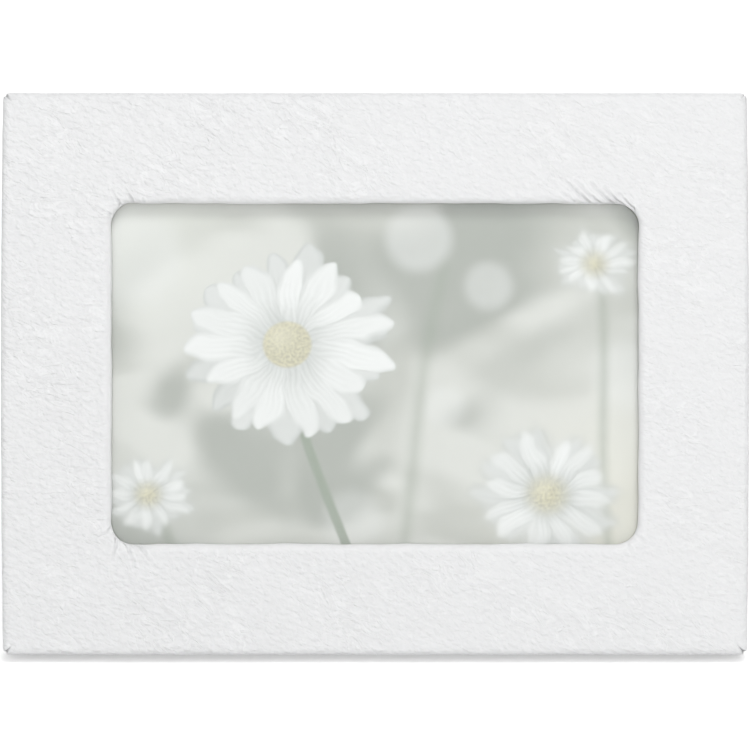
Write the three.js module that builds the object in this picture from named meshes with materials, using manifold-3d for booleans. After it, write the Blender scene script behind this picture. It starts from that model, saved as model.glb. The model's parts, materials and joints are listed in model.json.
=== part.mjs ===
// Tabletop photo frame, wrapped in pebbled leather, standing on an easel leg.
// Millimetres, +Z up. The picture faces -Y and the frame leans back towards +Y.
// Inside the leaning group Y is the depth, with 0 at the rear face of the leather,
// and Z is the height, with 0 at the bottom edge of the frame.

import * as THREE from 'three';
import { mergeVertices } from 'three/addons/utils/BufferGeometryUtils.js';
import { LoftGeometry } from 'three/addons/geometries/LoftGeometry.js';
import Module from 'manifold-3d';

const solids = await Module();
solids.setup();

// Picture and rails
const printWidth = 152.4;
const printHeight = 101.6;
const lipOverlap = 4.4;
const railWidth = 30.2;

// Layers from the front to the back
const leatherThickness = 1;
const lipThickness = 1.6;
const glassThickness = 2;
const printThickness = 0.3;
const cardThickness = 1.2;
const boardThickness = 3.5;
const liningThickness = 0.7;

// Clearances
const layerGap = 0.3;
const seatGap = 0.1;
const rebateClearance = 0.5;
const boardClearance = 0.3;
const knuckleGap = 0.3;
const boreClearance = 0.09;
const holeClearance = 0.3;

// Rounding and folds of the leather
const outerCornerRadius = 2;
const frontEdgeRadius = 1.8;
const backEdgeRadius = 1.3;
const leastRadius = 0.4;
const sideBow = 0.6;
const windowCornerRadius = 6;
const lipRadius = 2.2;
const rebateCornerRadius = 0.6;
const backTurnIn = 14;
const pleatsPerCorner = 4;
const pleatHeight = 0.3;
const pleatReach = 9;

// Turn buttons and their screws
const buttonEndInset = 26.7;
const buttonPivotInset = 5.5;
const buttonLap = 6;
const buttonHeadRadius = 4;
const buttonTipRadius = 3;
const buttonThickness = 1;
const screwRadius = 1.3;
const screwHeadRadius = 2.7;
const screwHeadHeight = 1.2;
const screwLength = 8;
const screwPointLength = 2;
const screwSlotWidth = 0.6;
const screwSlotDepth = 0.6;

// Easel
const leanAngle = THREE.MathUtils.degToRad(14);
const openingAngle = THREE.MathUtils.degToRad(27);
const hingeTopMargin = 6.6;
const legTopWidth = 32;
const legFootWidth = 50;
const legBoardThickness = 2;
const legCoverThickness = 0.5;
const legClearance = 1.6;
const legTopDrop = 0.7;

// Hinge
const hingeWidth = 30;
const middleKnuckle = 12;
const leafThickness = 0.8;
const leafHeight = 13;
const pinRadius = 1.1;
const pinHeadRadius = 1.6;
const pinHeadHeight = 0.6;
const rivetRadius = 1.2;
const rivetHeadRadius = 2.5;
const rivetHeadHeight = 0.8;
const rivetTailRadius = 1.9;
const rivetTailHeight = 0.5;
const rivetSideInset = 6;
const rivetDrop = 8.5;

// Ribbon that stays the leg
const ribbonWidth = 10;
const ribbonThickness = 0.4;
const ribbonTab = 9;
const ribbonBackDrop = 48;
const ribbonLegDrop = 62;
const stayRivetRadius = 0.9;
const stayRivetHeadRadius = 2.2;
const stayRivetHeadHeight = 0.5;

// Fineness of the round stretches
const cornerSegments = 2 * pleatsPerCorner;
const sideSegments = 4;
const edgeSegments = 3;
const lipSegments = 4;
const smallSegments = 16;
const barrelSegments = 24;

// Outline worked out from the picture
const windowHalfX = printWidth / 2 - lipOverlap;
const windowHalfZ = printHeight / 2 - lipOverlap;
const outerHalfX = windowHalfX + railWidth;
const outerHalfZ = windowHalfZ + railWidth;
const rebateHalfX = printWidth / 2 + rebateClearance;
const rebateHalfZ = printHeight / 2 + rebateClearance;
const middleZ = outerHalfZ;
const coreInset = leatherThickness + layerGap;

// Depth of each layer, counted from the rear face of the leather
const backY = 0;
const coreBackY = backY - coreInset;
const liningY = coreBackY + layerGap + liningThickness;
const boardBackY = liningY - liningThickness - layerGap;
const boardFrontY = boardBackY - boardThickness;
const cardBackY = boardFrontY - layerGap;
const printBackY = cardBackY - cardThickness - layerGap;
const glassBackY = printBackY - printThickness - layerGap;
const glassFrontY = glassBackY - glassThickness;
const turnInY = glassFrontY - layerGap;
const ledgeY = turnInY - coreInset;
const coreFrontY = ledgeY - lipThickness;
const frontY = coreFrontY - coreInset;

// Place of the hinge and the leg, the leaf a margin below the backing's upper edge
const hingeHeight = middleZ + rebateHalfZ - boardClearance - hingeTopMargin - leafHeight;
const buttonX = rebateHalfX - buttonEndInset;
const legThickness = legBoardThickness + 2 * (legCoverThickness + layerGap);
const barrelRadius = (legClearance + legThickness + leafThickness) / 2;
const pinY = liningY + layerGap + barrelRadius;
const legOuterY = barrelRadius - leafThickness - layerGap;
const legInnerY = legOuterY - legThickness;
const legTopZ = -barrelRadius - legTopDrop;
const standAngle = openingAngle - leanAngle;
const rivetX = hingeWidth / 2 - rivetSideInset;

const leatherWhite = new THREE.MeshStandardMaterial({ color: 0xe8e9eb, roughness: 0.55 });
const fibreboard = new THREE.MeshStandardMaterial({ color: 0xa98558, roughness: 0.9 });
const suedeGrey = new THREE.MeshStandardMaterial({ color: 0xc9c7c2, roughness: 0.95 });
const clearGlass = new THREE.MeshStandardMaterial({ color: 0xdfe8e6, roughness: 0.05 });
const printPaper = new THREE.MeshStandardMaterial({ color: 0xb9beb6, roughness: 0.4 });
const greyCard = new THREE.MeshStandardMaterial({ color: 0x9b958b, roughness: 0.9 });
const nickel = new THREE.MeshStandardMaterial({ color: 0xb8b9bb, roughness: 0.3, metalness: 1 });
const ribbonCloth = new THREE.MeshStandardMaterial({ color: 0xdcdad5, roughness: 0.8 });

// Turns a closed geometry into a solid that can be cut and joined.
function toSolid(geometry) {
  const bare = new THREE.BufferGeometry();
  bare.setAttribute('position', geometry.attributes.position);
  bare.setIndex(geometry.index);
  const merged = mergeVertices(bare);
  const vertProperties = Float32Array.from(merged.attributes.position.array);
  const triVerts = Uint32Array.from(merged.index.array);
  return new solids.Manifold(new solids.Mesh({ numProp: 3, vertProperties, triVerts }));
}

function toGeometry(solid) {
  const mesh = solid.getMesh();
  const geometry = new THREE.BufferGeometry();
  geometry.setAttribute('position', new THREE.BufferAttribute(mesh.vertProperties, 3));
  geometry.setIndex(new THREE.BufferAttribute(mesh.triVerts, 1));
  geometry.computeVertexNormals();
  return geometry;
}

function cutAway(geometry, cutters) {
  const body = toSolid(geometry);
  return toGeometry(cutters.reduce((left, cutter) => left.subtract(toSolid(cutter)), body));
}

function joinTogether(geometries) {
  const [first, ...others] = geometries.map(toSolid);
  return toGeometry(others.reduce((whole, part) => whole.add(part), first));
}

function box(width, depth, height, x, y, z) {
  return new THREE.BoxGeometry(width, depth, height).translate(x, y, z);
}

// A round bar along Y, from one depth to another.
function barY(radius, fromY, toY, x, z) {
  const bar = new THREE.CylinderGeometry(radius, radius, toY - fromY, smallSegments);
  return bar.translate(x, (fromY + toY) / 2, z);
}

// A round bar along X, on the line of the hinge pin.
function barX(radius, fromX, toX) {
  const bar = new THREE.CylinderGeometry(radius, radius, toX - fromX, barrelSegments);
  return bar.rotateZ(-Math.PI / 2).translate((fromX + toX) / 2, 0, 0);
}

// A flat plate in the XZ plane, from a shape drawn as x and z.
function plateXZ(shape, thickness, rearY) {
  const options = { depth: thickness, bevelEnabled: false, curveSegments: smallSegments / 2 };
  const plate = new THREE.ExtrudeGeometry(shape, options);
  return plate.rotateX(Math.PI / 2).translate(0, rearY, 0);
}

// A strip along X, from a section drawn as y and z.
function stripX(section, width) {
  const shape = new THREE.Shape(section.map(([y, z]) => new THREE.Vector2(y, z)));
  const strip = new THREE.ExtrudeGeometry(shape, { depth: width, bevelEnabled: false });
  const turn = new THREE.Matrix4().makeBasis(
    new THREE.Vector3(0, 1, 0),
    new THREE.Vector3(0, 0, 1),
    new THREE.Vector3(1, 0, 0)
  );
  return strip.applyMatrix4(turn).translate(-width / 2, 0, 0);
}

// One rounded rectangle of points round the picture, at one depth. The bow draws its
// left and right sides in towards the corners.
// rise lifts the leather towards the front in even pleats at the four corners.
function ring({ halfX, halfZ, radius, y, bow = 0, rise = 0 }) {
  const points = [];
  const cornerSigns = [[1, 1], [-1, 1], [-1, -1], [1, -1]];
  const corners = cornerSigns.map(([signX, signZ], corner) => {
    const arc = [];
    for (let step = 0; step <= cornerSegments; step += 1) {
      const share = step / cornerSegments;
      const angle = (corner + share) * Math.PI / 2;
      const wave = 0.5 - 0.5 * Math.cos(share * pleatsPerCorner * 2 * Math.PI);
      arc.push(new THREE.Vector3(
        signX * (halfX - radius) + radius * Math.cos(angle),
        y - rise * wave,
        signZ * (halfZ - radius) + radius * Math.sin(angle)
      ));
    }
    return arc;
  });
  corners.forEach((arc, corner) => {
    const last = arc[arc.length - 1];
    const next = corners[(corner + 1) % corners.length][0];
    points.push(...arc);
    for (let step = 1; step < sideSegments; step += 1) {
      points.push(last.clone().lerp(next, step / sideSegments));
    }
  });
  points.forEach((point) => {
    point.x *= 1 - (bow / halfX) * (point.z / halfZ) ** 2;
    point.z += middleZ;
  });
  return points;
}

const outerRing = (inset, y) => ring({
  halfX: outerHalfX - inset,
  halfZ: outerHalfZ - inset,
  radius: Math.max(outerCornerRadius - inset, leastRadius),
  y,
  bow: sideBow
});

const windowRing = (offset, y, rise = 0) => ring({
  halfX: windowHalfX + offset,
  halfZ: windowHalfZ + offset,
  radius: windowCornerRadius + offset,
  y,
  rise
});

const rebateRing = (offset, y) => ring({
  halfX: rebateHalfX + offset,
  halfZ: rebateHalfZ + offset,
  radius: rebateCornerRadius + Math.max(offset, 0),
  y
});

// Quarter of a round edge, as pairs of sine and cosine.
function quarter(segments) {
  const turns = [];
  for (let step = 0; step <= segments; step += 1) {
    const angle = (step / segments) * Math.PI / 2;
    turns.push([Math.sin(angle), Math.cos(angle)]);
  }
  return turns;
}

// A ring of material whose section is the loop of rings given, which runs from the
// window over the front to the outer side and home along the back.
function ringBody(rings) {
  return new LoftGeometry([...rings, rings[0]].reverse());
}

// The leather is one sheet: turned in on the ledge behind the lip, rolled round the
// lip, laid over the front and the side, and turned in on the back.
function leatherCover() {
  const turnInReach = lipOverlap + rebateClearance - layerGap;
  const lipDepth = turnInY - frontY;
  const heel = Math.min(coreInset, lipDepth / 2);
  const roll = Math.min(lipRadius, lipDepth - heel);
  const frontRadius = Math.max(frontEdgeRadius, leastRadius);
  const innerRoll = Math.max(roll - leatherThickness, leastRadius / 2);
  const innerFront = Math.max(frontRadius - leatherThickness, leastRadius / 2);
  const rings = [windowRing(turnInReach, turnInY)];
  quarter(edgeSegments).forEach(([sine, cosine]) => {
    rings.push(windowRing(heel - heel * sine, turnInY - heel + heel * cosine));
  });
  quarter(lipSegments).forEach(([sine, cosine]) => {
    const y = frontY + roll - roll * sine;
    rings.push(windowRing(roll - roll * cosine, y, pleatHeight * sine));
  });
  rings.push(windowRing((roll + pleatReach) / 2, frontY, pleatHeight / 2));
  rings.push(windowRing(pleatReach, frontY));
  quarter(edgeSegments).forEach(([sine, cosine]) => {
    rings.push(outerRing(frontRadius - frontRadius * sine, frontY + frontRadius * (1 - cosine)));
  });
  quarter(edgeSegments).forEach(([sine, cosine]) => {
    rings.push(outerRing(backEdgeRadius * (1 - cosine), backY - backEdgeRadius * (1 - sine)));
  });
  rings.push(outerRing(backTurnIn, backY));
  rings.push(outerRing(backTurnIn, backY - leatherThickness));
  rings.push(outerRing(leatherThickness, backY - leatherThickness));
  const innerFrontY = frontY + leatherThickness;
  quarter(edgeSegments).forEach(([sine, cosine]) => {
    const inset = leatherThickness + innerFront * (1 - cosine);
    rings.push(outerRing(inset, innerFrontY + innerFront * (1 - sine)));
  });
  quarter(edgeSegments).forEach(([sine, cosine]) => {
    const offset = leatherThickness + innerRoll * (1 - sine);
    rings.push(windowRing(offset, innerFrontY + innerRoll * (1 - cosine)));
  });
  rings.push(windowRing(leatherThickness, turnInY - leatherThickness));
  rings.push(windowRing(turnInReach, turnInY - leatherThickness));
  return ringBody(rings);
}

// Fibreboard frame under the leather, with the rebate that holds the picture.
function frameCore() {
  const lipEdge = Math.min(Math.max(lipRadius - coreInset, leastRadius / 2), lipThickness / 2);
  const outerEdge = Math.max(frontEdgeRadius - coreInset, leastRadius / 2);
  const rings = [windowRing(coreInset, ledgeY)];
  quarter(edgeSegments).forEach(([sine, cosine]) => {
    const offset = coreInset + lipEdge * (1 - cosine);
    rings.push(windowRing(offset, coreFrontY + lipEdge * (1 - sine)));
  });
  quarter(edgeSegments).forEach(([sine, cosine]) => {
    const inset = coreInset + outerEdge * (1 - sine);
    rings.push(outerRing(inset, coreFrontY + outerEdge * (1 - cosine)));
  });
  rings.push(outerRing(coreInset, coreBackY));
  rings.push(rebateRing(0, coreBackY));
  rings.push(rebateRing(0, ledgeY));
  return ringBody(rings);
}

function rearLining() {
  const frontFace = coreBackY + layerGap;
  return ringBody([
    rebateRing(0, frontFace),
    outerRing(backTurnIn + layerGap, frontFace),
    outerRing(backTurnIn + layerGap, liningY),
    rebateRing(0, liningY)
  ]);
}

// Turned shape with a head, a shank and a spread tail, along +Y from the tail to the head.
function rivet({ radius, headRadius, headHeight, tailRadius, tailHeight, tailY, seatY, x, z }) {
  const profile = [
    new THREE.Vector2(0, tailY),
    new THREE.Vector2(tailRadius, tailY),
    new THREE.Vector2(tailRadius, tailY + tailHeight),
    new THREE.Vector2(radius, tailY + tailHeight),
    new THREE.Vector2(radius, seatY),
    new THREE.Vector2(headRadius, seatY)
  ];
  quarter(edgeSegments).slice(1).forEach(([sine, cosine], step, all) => {
    const last = step === all.length - 1;
    profile.push(new THREE.Vector2(last ? 0 : headRadius * cosine, seatY + headHeight * sine));
  });
  return new THREE.LatheGeometry(profile, smallSegments).translate(x, 0, z);
}

function screw(seatY, x, z) {
  const tipY = seatY - screwLength;
  const profile = [
    new THREE.Vector2(0, tipY),
    new THREE.Vector2(screwRadius, tipY + screwPointLength),
    new THREE.Vector2(screwRadius, seatY),
    new THREE.Vector2(screwHeadRadius, seatY)
  ];
  quarter(edgeSegments).slice(1).forEach(([sine, cosine], step, all) => {
    const last = step === all.length - 1;
    profile.push(new THREE.Vector2(last ? 0 : screwHeadRadius * cosine, seatY + screwHeadHeight * sine));
  });
  const body = new THREE.LatheGeometry(profile, smallSegments).translate(x, 0, z);
  const slotY = seatY + screwHeadHeight;
  const slotLength = screwHeadRadius * 1.2;
  return cutAway(body, [
    box(slotLength, 2 * screwSlotDepth, screwSlotWidth, x, slotY, z),
    box(screwSlotWidth, 2 * screwSlotDepth, slotLength, x, slotY, z)
  ]);
}

// Tear-shaped plate on a screw. It is drawn pointing down from its pivot at the origin.
function turnButton(underY) {
  const tipDrop = buttonPivotInset + buttonLap - buttonTipRadius;
  const flank = Math.asin((buttonHeadRadius - buttonTipRadius) / tipDrop);
  const shape = new THREE.Shape();
  shape.absarc(0, 0, buttonHeadRadius, -flank, Math.PI + flank, false);
  shape.absarc(0, -tipDrop, buttonTipRadius, Math.PI + flank, 2 * Math.PI - flank, false);
  shape.closePath();
  const plate = plateXZ(shape, buttonThickness, underY + buttonThickness);
  const hole = barY(
    screwRadius + holeClearance,
    underY - layerGap,
    underY + buttonThickness + layerGap,
    0,
    0
  );
  return cutAway(plate, [hole]);
}

// Lower edge of the leg: the floor, as seen from the leg's own tilt.
function footZ(y, lift = 0) {
  return -footReach + lift / Math.cos(standAngle) - y * Math.tan(standAngle);
}

// Tapered slab of the leg between two faces, drawn in by inset on its four edges.
function legSlab(innerY, outerY, inset) {
  const section = [
    [innerY, footZ(innerY, inset)],
    [outerY, footZ(outerY, inset)],
    [outerY, legTopZ - inset],
    [innerY, legTopZ - inset]
  ];
  const side = stripX(section, legTopWidth + legFootWidth);
  const lowZ = footZ(legOuterY) - layerGap;
  const taper = (legFootWidth - legTopWidth) / 2 / (legTopZ - footZ(legOuterY));
  const halfAt = (z) => legTopWidth / 2 + (legTopZ - z) * taper - inset;
  const plan = new THREE.Shape([
    new THREE.Vector2(-halfAt(legTopZ), legTopZ),
    new THREE.Vector2(-halfAt(lowZ), lowZ),
    new THREE.Vector2(halfAt(lowZ), lowZ),
    new THREE.Vector2(halfAt(legTopZ), legTopZ)
  ]);
  const slabDepth = outerY - innerY + 2 * layerGap;
  const front = plateXZ(plan, slabDepth, outerY + layerGap);
  return toGeometry(toSolid(side).intersect(toSolid(front)));
}

const group = new THREE.Group();
const leaning = new THREE.Group();
leaning.rotation.x = -leanAngle;
group.add(leaning);

function addMesh(parent, name, geometry, material) {
  const mesh = new THREE.Mesh(geometry, material);
  mesh.name = name;
  parent.add(mesh);
  return mesh;
}

// Frame
const cover = addMesh(leaning, 'leather_cover', leatherCover(), leatherWhite);
const buttonUnderY = backY + layerGap;
const screwSeatY = buttonUnderY + buttonThickness + seatGap;
const buttonPlaces = [
  { x: -buttonX, side: 1 },
  { x: buttonX, side: 1 },
  { x: buttonX, side: -1 },
  { x: -buttonX, side: -1 }
].map(({ x, side }) => ({ x, side, z: middleZ + side * (rebateHalfZ + buttonPivotInset) }));
const screwHoles = buttonPlaces.map(({ x, z }) => barY(
  screwRadius + holeClearance,
  screwSeatY - screwLength - layerGap,
  screwSeatY,
  x,
  z
));
addMesh(leaning, 'frame_core', cutAway(frameCore(), screwHoles), fibreboard);
addMesh(leaning, 'rear_lining', cutAway(rearLining(), screwHoles), suedeGrey);

// Picture, between the ledge and the backing
const middleOf = (backFaceY, thickness) => backFaceY - thickness / 2;
const sheetOf = (thickness, backFaceY) => box(
  printWidth,
  thickness,
  printHeight,
  0,
  middleOf(backFaceY, thickness),
  middleZ
);
addMesh(leaning, 'glass_pane', sheetOf(glassThickness, glassBackY), clearGlass);
addMesh(leaning, 'photo_print', sheetOf(printThickness, printBackY), printPaper);
addMesh(leaning, 'filler_card', sheetOf(cardThickness, cardBackY), greyCard);

// Backing with its cover, bored for the rivets of the hinge and the ribbon
const backWidth = 2 * (rebateHalfX - boardClearance);
const backHeight = 2 * (rebateHalfZ - boardClearance);
const upperRivets = [-1, 1].map((side) => ({ x: side * rivetX, z: hingeHeight + rivetDrop }));
const stayUpper = { x: 0, z: hingeHeight - ribbonBackDrop + ribbonTab / 2 };
const tailHollow = rivetTailHeight + layerGap;
function backingHoles({ x, z }, radius) {
  return [
    barY(radius + holeClearance, boardFrontY - layerGap, liningY + layerGap, x, z),
    barY(rivetTailRadius + holeClearance, boardFrontY - layerGap, boardFrontY + tailHollow, x, z)
  ];
}
const boardHoles = [
  ...upperRivets.flatMap((place) => backingHoles(place, rivetRadius)),
  ...backingHoles(stayUpper, stayRivetRadius)
];
const coverHoles = [
  ...upperRivets.map(({ x, z }) => barY(
    rivetRadius + holeClearance,
    boardBackY,
    liningY + layerGap,
    x,
    z
  )),
  barY(stayRivetRadius + holeClearance, boardBackY, liningY + layerGap, stayUpper.x, stayUpper.z)
];
const backingBoard = box(
  backWidth,
  boardThickness,
  backHeight,
  0,
  middleOf(boardBackY, boardThickness),
  middleZ
);
const backingCover = box(
  backWidth,
  liningThickness,
  backHeight,
  0,
  middleOf(liningY, liningThickness),
  middleZ
);
addMesh(leaning, 'backing_board', cutAway(backingBoard, boardHoles), fibreboard);
addMesh(leaning, 'backing_cover', cutAway(backingCover, coverHoles), suedeGrey);

// Four turn buttons that hold the backing in
buttonPlaces.forEach(({ x, side, z }, index) => {
  const button = addMesh(leaning, `turn_button_${index + 1}`, turnButton(buttonUnderY), nickel);
  button.position.set(x, 0, z);
  button.rotation.y = side > 0 ? 0 : Math.PI;
  addMesh(leaning, `turn_button_screw_${index + 1}`, screw(screwSeatY, x, z), nickel);
});

// Hinge: the upper leaf lies on the backing, the lower leaf on the leg's outer face
const knuckleClear = barrelRadius + knuckleGap;
const borePart = barX(pinRadius + boreClearance, -hingeWidth, hingeWidth);
const upperLeafY = -barrelRadius + leafThickness / 2;
const upperHoles = upperRivets.map(({ x }) => barY(
  rivetRadius + holeClearance,
  -barrelRadius - layerGap,
  -barrelRadius + leafThickness + layerGap,
  x,
  rivetDrop
));
const upperLeaf = cutAway(
  joinTogether([
    box(hingeWidth, leafThickness, leafHeight, 0, upperLeafY, leafHeight / 2),
    barX(barrelRadius, -hingeWidth / 2, hingeWidth / 2)
  ]),
  [
    borePart,
    box(
      middleKnuckle + 2 * knuckleGap,
      2 * knuckleClear,
      2 * knuckleClear,
      0,
      0,
      0
    ),
    ...upperHoles
  ]
);
const hinge = new THREE.Group();
hinge.position.set(0, pinY, hingeHeight);
leaning.add(hinge);
addMesh(hinge, 'hinge_upper_leaf', upperLeaf, nickel);

const pinHalf = hingeWidth / 2 + seatGap;
const hingePin = joinTogether([
  barX(pinRadius, -pinHalf, pinHalf),
  barX(pinHeadRadius, -pinHalf - pinHeadHeight, -pinHalf),
  barX(pinHeadRadius, pinHalf, pinHalf + pinHeadHeight)
]);
addMesh(hinge, 'hinge_pin', hingePin, nickel);

upperRivets.forEach(({ x }, index) => {
  const shape = rivet({
    radius: rivetRadius,
    headRadius: rivetHeadRadius,
    headHeight: rivetHeadHeight,
    tailRadius: rivetTailRadius,
    tailHeight: rivetTailHeight,
    tailY: boardFrontY + seatGap - pinY,
    seatY: -barrelRadius + leafThickness + seatGap,
    x,
    z: rivetDrop
  });
  addMesh(hinge, `hinge_rivet_upper_${index + 1}`, shape, nickel);
});

// Leg, hung on the pin and swung out until its foot meets the floor of the frame
const lowestOf = (mesh) => {
  group.updateMatrixWorld(true);
  return new THREE.Box3().setFromObject(mesh, true).min.z;
};
const floorZ = lowestOf(cover);
const pinWorldZ = hingeHeight * Math.cos(leanAngle) - pinY * Math.sin(leanAngle);
const footReach = (pinWorldZ - floorZ) / Math.cos(standAngle);
const leg = new THREE.Group();
leg.rotation.x = openingAngle;
hinge.add(leg);

const legBoardInset = legCoverThickness + layerGap;
const legBoardInnerY = legInnerY + legBoardInset;
const legBoardOuterY = legOuterY - legBoardInset;
const legRivets = [-1, 1].map((side) => ({ x: side * rivetX, z: -rivetDrop }));
const stayLower = { x: 0, z: -ribbonLegDrop - ribbonTab / 2 };
function legHoles({ x, z }) {
  return [
    barY(rivetRadius + holeClearance, legBoardInnerY - layerGap, barrelRadius + layerGap, x, z),
    barY(rivetTailRadius + holeClearance, legBoardInnerY - layerGap, legBoardInnerY + tailHollow, x, z)
  ];
}
function stayHoles({ x, z }) {
  return [
    barY(stayRivetRadius + holeClearance, legInnerY - layerGap, legBoardOuterY + layerGap, x, z),
    barY(rivetTailRadius + holeClearance, legBoardOuterY - tailHollow, legBoardOuterY + layerGap, x, z)
  ];
}
const legBoard = cutAway(
  legSlab(legBoardInnerY, legBoardOuterY, legBoardInset),
  [...legRivets.flatMap(legHoles), ...stayHoles(stayLower)]
);
addMesh(leg, 'leg_board', legBoard, fibreboard);

// Cover drawn over the outer face of the leg and its four edges
const legCover = cutAway(
  legSlab(legInnerY + legBoardInset, legOuterY, 0),
  [
    legSlab(legInnerY, legOuterY - legCoverThickness, legCoverThickness),
    ...legRivets.map(({ x, z }) => barY(rivetRadius + holeClearance, legBoardOuterY, barrelRadius, x, z))
  ]
);
addMesh(leg, 'leg_cover', legCover, suedeGrey);
const legLiner = cutAway(
  legSlab(legInnerY, legInnerY + legCoverThickness, seatGap),
  stayHoles(stayLower).slice(0, 1)
);
addMesh(leg, 'leg_liner', legLiner, suedeGrey);

const lowerLeafY = barrelRadius - leafThickness / 2;
const lowerLeaf = cutAway(
  joinTogether([
    box(hingeWidth, leafThickness, leafHeight, 0, lowerLeafY, -leafHeight / 2),
    barX(barrelRadius, -middleKnuckle / 2, middleKnuckle / 2)
  ]),
  [
    borePart,
    ...[-1, 1].map((side) => box(
      hingeWidth,
      2 * knuckleClear,
      2 * knuckleClear,
      side * (hingeWidth + middleKnuckle) / 2,
      0,
      0
    )),
    ...legRivets.map(({ x, z }) => barY(rivetRadius + holeClearance, 0, barrelRadius + layerGap, x, z))
  ]
);
addMesh(leg, 'hinge_lower_leaf', lowerLeaf, nickel);

legRivets.forEach(({ x, z }, index) => {
  const shape = rivet({
    radius: rivetRadius,
    headRadius: rivetHeadRadius,
    headHeight: rivetHeadHeight,
    tailRadius: rivetTailRadius,
    tailHeight: rivetTailHeight,
    tailY: legBoardInnerY + seatGap,
    seatY: barrelRadius + seatGap,
    x,
    z
  });
  addMesh(leg, `hinge_rivet_lower_${index + 1}`, shape, nickel);
});

// Ribbon from the backing to the leg, taut when the leg is open.
// Its ends lie flat under a rivet each, one in the frame's depth, one in the leg's.
const onLeg = (y, z) => [
  pinY + y * Math.cos(openingAngle) - z * Math.sin(openingAngle),
  hingeHeight + y * Math.sin(openingAngle) + z * Math.cos(openingAngle)
];
const ribbonBackY = liningY + layerGap;
const ribbonLegY = legInnerY - layerGap;
const ribbonFoldZ = hingeHeight - ribbonBackDrop;
const ribbon = stripX([
  [ribbonBackY, ribbonFoldZ + ribbonTab],
  [ribbonBackY, ribbonFoldZ],
  onLeg(ribbonLegY - ribbonThickness, -ribbonLegDrop - ribbonThickness),
  onLeg(ribbonLegY - ribbonThickness, -ribbonLegDrop - ribbonTab),
  onLeg(ribbonLegY, -ribbonLegDrop - ribbonTab),
  onLeg(ribbonLegY, -ribbonLegDrop),
  [ribbonBackY + ribbonThickness, ribbonFoldZ + ribbonThickness],
  [ribbonBackY + ribbonThickness, ribbonFoldZ + ribbonTab]
], ribbonWidth);
const lowerStayHole = barY(
  stayRivetRadius + holeClearance,
  ribbonLegY - ribbonThickness - layerGap,
  ribbonLegY + layerGap,
  stayLower.x,
  stayLower.z
);
lowerStayHole.rotateX(openingAngle).translate(0, pinY, hingeHeight);
const upperStayHole = barY(
  stayRivetRadius + holeClearance,
  liningY,
  ribbonBackY + ribbonThickness + layerGap,
  stayUpper.x,
  stayUpper.z
);
addMesh(leaning, 'stay_ribbon', cutAway(ribbon, [upperStayHole, lowerStayHole]), ribbonCloth);

addMesh(leaning, 'stay_rivet_upper', rivet({
  radius: stayRivetRadius,
  headRadius: stayRivetHeadRadius,
  headHeight: stayRivetHeadHeight,
  tailRadius: rivetTailRadius,
  tailHeight: rivetTailHeight,
  tailY: boardFrontY + seatGap,
  seatY: ribbonBackY + ribbonThickness + seatGap,
  x: stayUpper.x,
  z: stayUpper.z
}), nickel);

// The lower rivet has its head on the ribbon's side, so it is turned round.
const stayRivetLower = rivet({
  radius: stayRivetRadius,
  headRadius: stayRivetHeadRadius,
  headHeight: stayRivetHeadHeight,
  tailRadius: rivetTailRadius,
  tailHeight: rivetTailHeight,
  tailY: -legBoardOuterY + seatGap,
  seatY: -ribbonLegY + ribbonThickness + seatGap,
  x: 0,
  z: 0
});
stayRivetLower.rotateX(Math.PI).translate(stayLower.x, 0, stayLower.z);
addMesh(leg, 'stay_rivet_lower', stayRivetLower, nickel);

// The origin is below the middle of the whole frame, on the floor.
group.updateMatrixWorld(true);
const bounds = new THREE.Box3().setFromObject(group, true);
const middle = bounds.getCenter(new THREE.Vector3());
leaning.position.set(-middle.x, -middle.y, -bounds.min.z);

export default group;
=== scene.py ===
# Tabletop photo frame wrapped in white pebbled leather, standing on its easel leg.
# Metres. The picture faces -Y and leans back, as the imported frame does.
import json
import math

import bpy
import numpy as np
from mathutils import Matrix, Vector


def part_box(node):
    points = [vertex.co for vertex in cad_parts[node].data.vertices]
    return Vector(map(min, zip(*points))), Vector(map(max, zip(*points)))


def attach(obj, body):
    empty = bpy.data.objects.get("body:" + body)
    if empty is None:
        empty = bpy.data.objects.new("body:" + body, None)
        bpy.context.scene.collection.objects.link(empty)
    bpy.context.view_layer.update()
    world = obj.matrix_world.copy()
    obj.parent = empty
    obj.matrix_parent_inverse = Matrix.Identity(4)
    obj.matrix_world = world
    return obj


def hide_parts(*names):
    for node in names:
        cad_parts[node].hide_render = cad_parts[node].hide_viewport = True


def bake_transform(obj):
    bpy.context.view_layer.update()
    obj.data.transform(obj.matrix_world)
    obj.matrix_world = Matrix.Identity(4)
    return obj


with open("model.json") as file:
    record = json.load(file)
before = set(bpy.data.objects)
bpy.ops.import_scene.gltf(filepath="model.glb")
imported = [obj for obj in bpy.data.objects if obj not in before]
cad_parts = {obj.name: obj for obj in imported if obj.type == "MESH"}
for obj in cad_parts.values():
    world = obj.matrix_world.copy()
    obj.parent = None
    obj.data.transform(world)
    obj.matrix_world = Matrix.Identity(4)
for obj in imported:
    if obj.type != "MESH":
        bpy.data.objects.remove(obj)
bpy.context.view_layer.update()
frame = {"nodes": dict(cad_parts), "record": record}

mm = 0.001
lean = math.radians(14)
across = Vector((1, 0, 0))
inward = Vector((0, math.cos(lean), -math.sin(lean)))  # from the picture into its back
upward = Vector((0, math.sin(lean), math.cos(lean)))  # up the leaning frame

# Millimetres in the frame's own leaning plane. Depth counts from the rear face of
# the leather, and x and z from the middle of the picture.
size = {
    "windowHalfX": 71.8,
    "windowHalfZ": 46.4,
    "windowRadius": 6.0,
    "outerHalfX": 102.0,
    "outerHalfZ": 76.6,
    "front": -13.7,
    "glassMiddle": -8.2,
}
glassLow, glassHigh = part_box("glass_pane")
centre = (glassLow + glassHigh) / 2 - inward * size["glassMiddle"] * mm


def place(x, depth, z):
    # a point of the leaning frame, in metres
    return centre + across * x * mm + inward * depth * mm + upward * z * mm


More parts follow.
